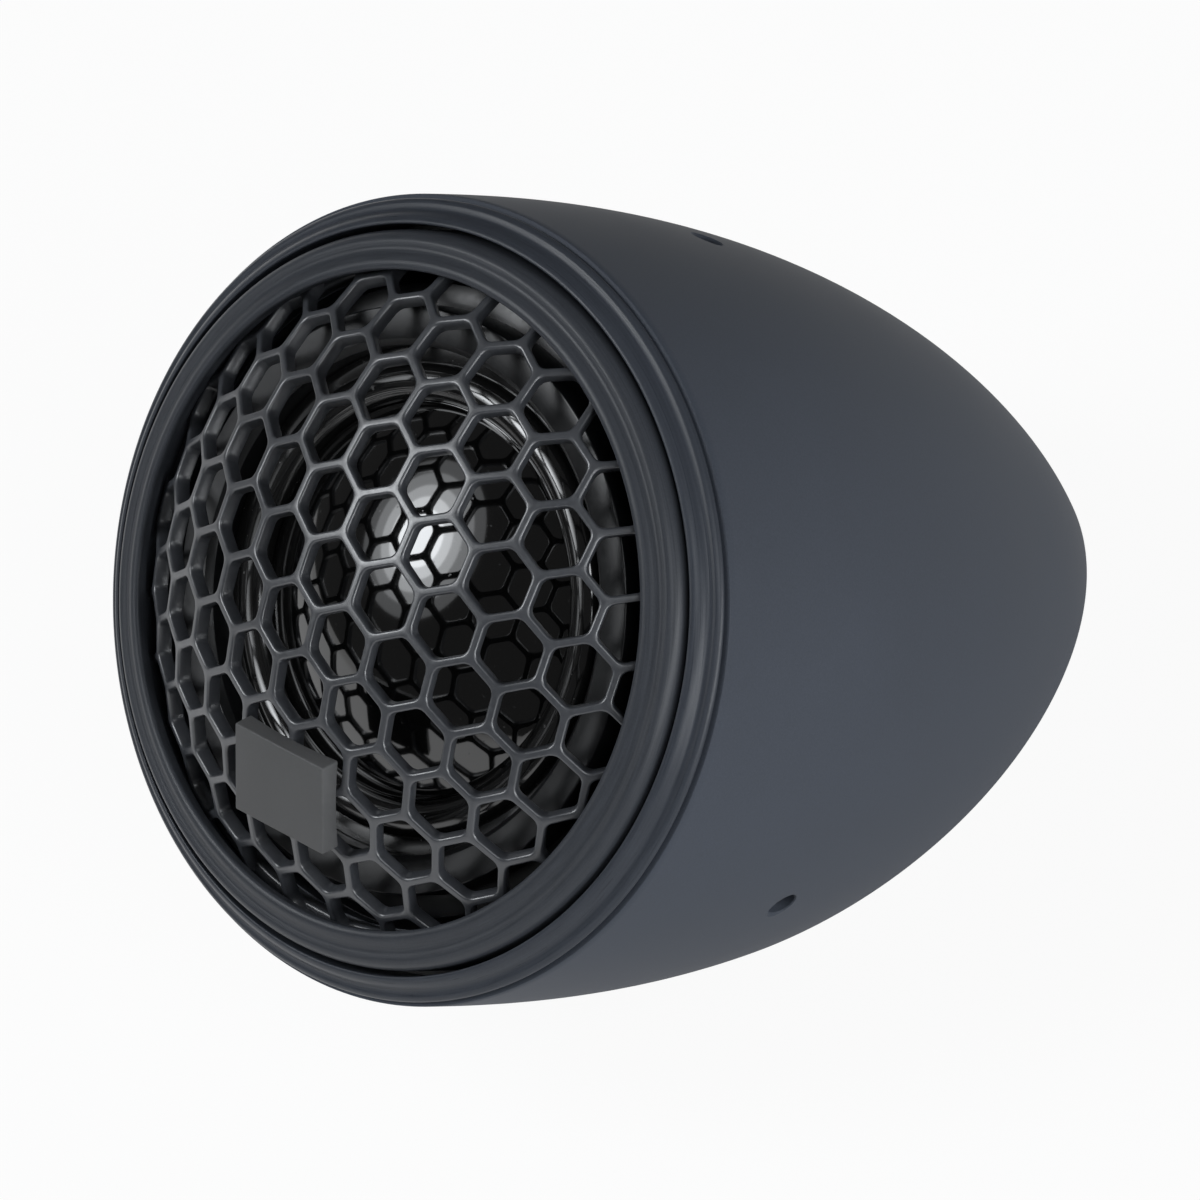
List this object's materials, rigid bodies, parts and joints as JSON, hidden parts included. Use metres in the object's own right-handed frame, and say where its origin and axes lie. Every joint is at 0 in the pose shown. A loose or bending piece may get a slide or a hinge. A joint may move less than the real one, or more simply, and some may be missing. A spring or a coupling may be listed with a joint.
{
  "type": "car tweeter",
  "caption": "Dome tweeter in a bullet-shaped surface-mount pod, with a domed honeycomb grille, a flat angled base, a threaded insert and a cable outlet.",
  "frame": {"origin": "centre of the base plate, on the mounting surface", "axes": "+Z away from the mounting surface, -Y the way the tweeter faces along the surface, +X to the right of someone facing along +Y"},
  "size_m": [0.0588, 0.0732, 0.0562],
  "materials": {
    "pod_shell": "satin black anodised aluminium, finely bead-blasted",
    "bezel_ring": "satin black anodised aluminium with fine turning marks",
    "set_screws": "black oxide steel",
    "trim_ring": "satin black with fine turning marks",
    "grille": "semi-gloss black moulding",
    "badge": "matt dark grey, bare",
    "faceplate": "black, stepped, half gloss",
    "driver_gasket": "closed-cell foam",
    "surround": "coated black fabric",
    "dome": "glossy black coated dome",
    "coil_former": "amber film",
    "voice_coil": "enamelled copper wire",
    "felt": "wool felt",
    "copper_cap": "bright copper",
    "motor_steel": "zinc-plated steel",
    "magnet": "nickel-plated neodymium",
    "motor_housing": "black glass-filled nylon",
    "terminal_board": "brown phenolic board",
    "brass": "brass",
    "tinned_metal": "tin or zinc plated",
    "lead_positive": "red PVC insulation",
    "lead_negative": "black PVC insulation",
    "base_plate": "satin black anodised aluminium",
    "cable_grommet": "soft black rubber",
    "terminal_block": "natural nylon"
  },
  "bodies": {
    "root": {"pod_shell": "pod_shell", "bezel_ring": "bezel_ring", "set_screws": "set_screws", "trim_ring": "trim_ring", "grille": "grille", "badge": "badge", "faceplate": "faceplate", "driver_gasket": "driver_gasket", "surround": "surround", "lead_out_wires": "voice_coil", "pole_felt": "felt", "copper_cap": "copper_cap", "pole_plate": "motor_steel", "magnet": "magnet", "yoke_cup": "motor_steel", "motor_housing": "motor_housing", "rear_cap": "motor_housing", "damping_felt": "felt", "terminal_board": "terminal_board", "terminal_rivets": "brass", "terminal_positive": "brass", "terminal_negative": "tinned_metal", "lead_positive": "lead_positive", "lead_negative": "lead_negative", "base_plate": "base_plate", "base_screws": "tinned_metal", "threaded_insert": "brass", "cable_grommet": "cable_grommet", "terminal_block": "terminal_block", "block_screws": "tinned_metal"},
    "diaphragm": {"dome": "dome", "coil_former": "coil_former", "voice_coil": "voice_coil"}
  },
  "joints": [
    {"name": "dome_travel", "type": "slide", "parent": "root", "child": "diaphragm", "axis": [0, -0.7071, 0.7071], "range_m": [-0.0004, 0.0004], "stiffness_N_per_m": 1800, "deforming": ["surround", "lead_out_wires"]}
  ]
}
